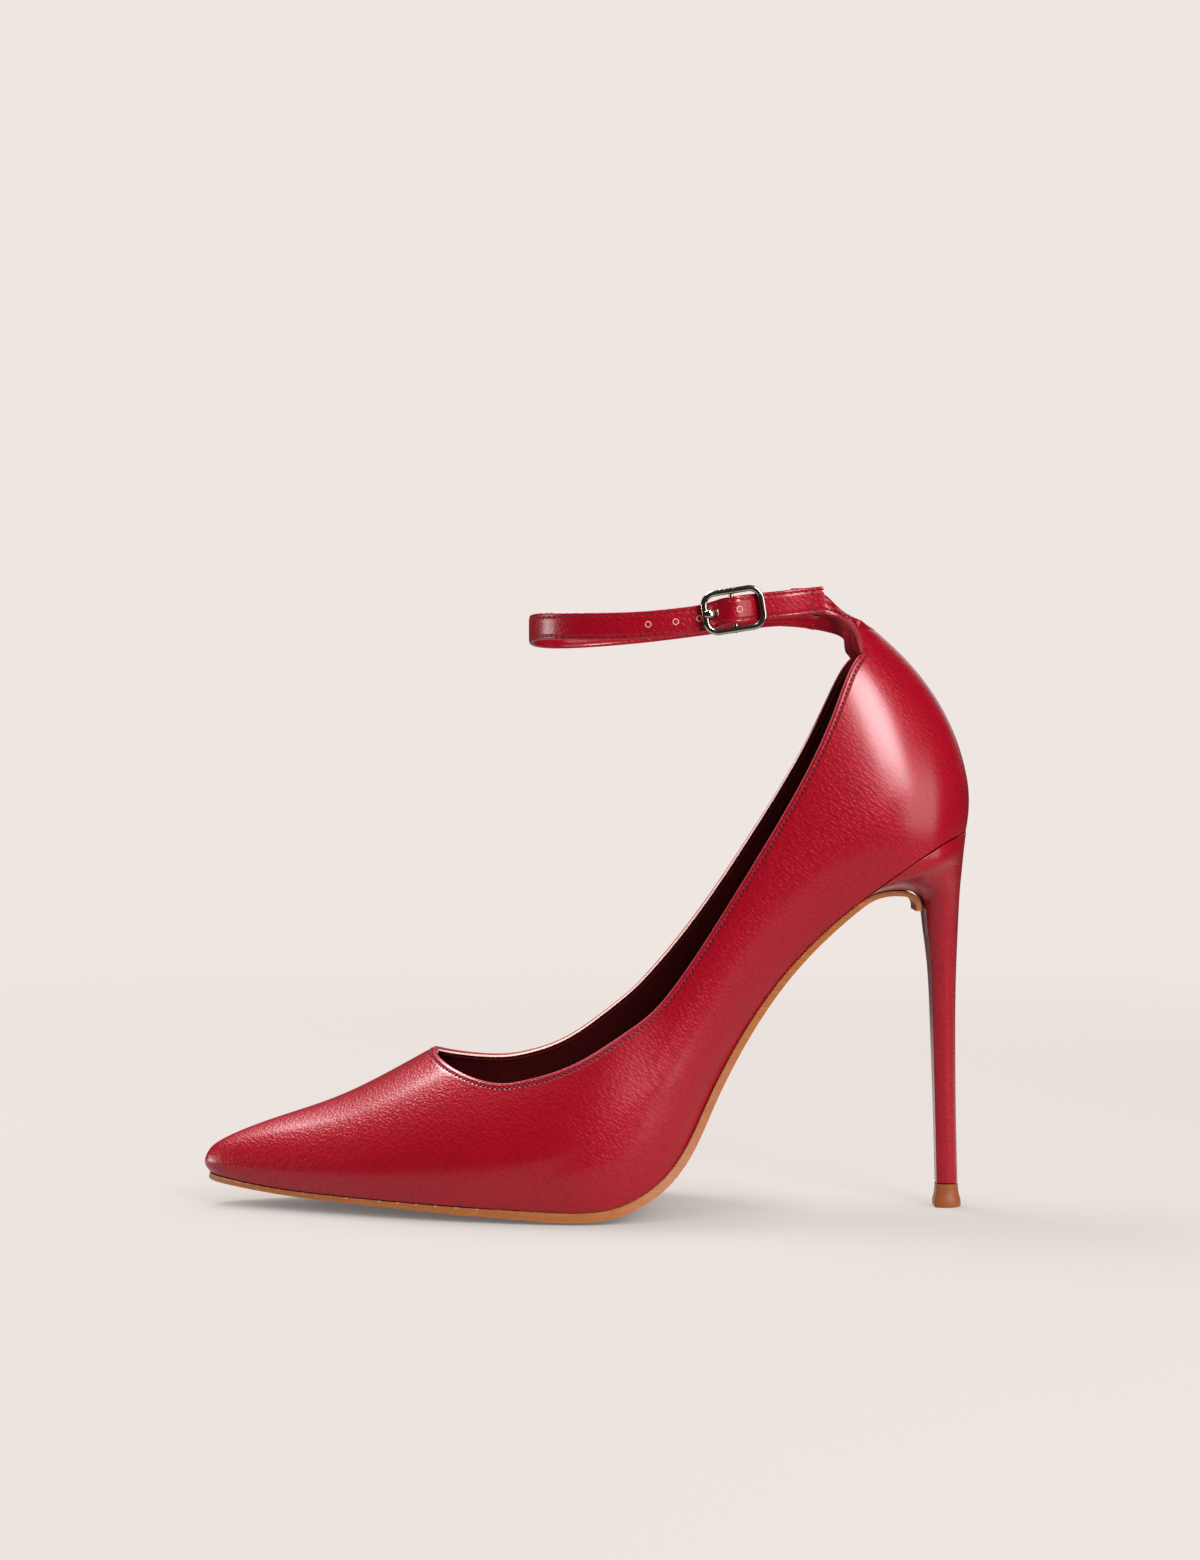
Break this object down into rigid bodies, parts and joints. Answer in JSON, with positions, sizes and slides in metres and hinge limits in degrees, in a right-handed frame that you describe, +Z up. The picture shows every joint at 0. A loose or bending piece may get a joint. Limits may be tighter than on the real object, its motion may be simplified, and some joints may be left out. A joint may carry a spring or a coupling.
{
  "type": "ankle strap pump",
  "caption": "Pointed left pump on a high covered stiletto heel, with a deep throat and a buckled ankle strap cut in one with the counter.",
  "frame": {"origin": "bottom centre of the whole shoe's box, on the floor", "axes": "+Z up from the floor, +X from toe to heel, +Y to the medial side"},
  "size_m": [0.2206, 0.0722, 0.1774],
  "materials": {
    "red_leather": "saturated red leather with a fine grain and a satin gloss",
    "sock_lining": "very dark maroon matt lining",
    "tan_sole": "tan satin sole with a trimmed edge",
    "tan_tip": "tan satin top piece",
    "buckle_metal": "polished silver-coloured metal"
  },
  "bodies": {
    "root": {"upper": "red_leather", "ankle_strap": "red_leather", "buckle_strap": "red_leather", "heel": "red_leather", "insole": "sock_lining", "outsole": "tan_sole", "heel_tip": "tan_tip", "buckle_frame": "buckle_metal", "buckle_prong": "buckle_metal"}
  },
  "joints": []
}
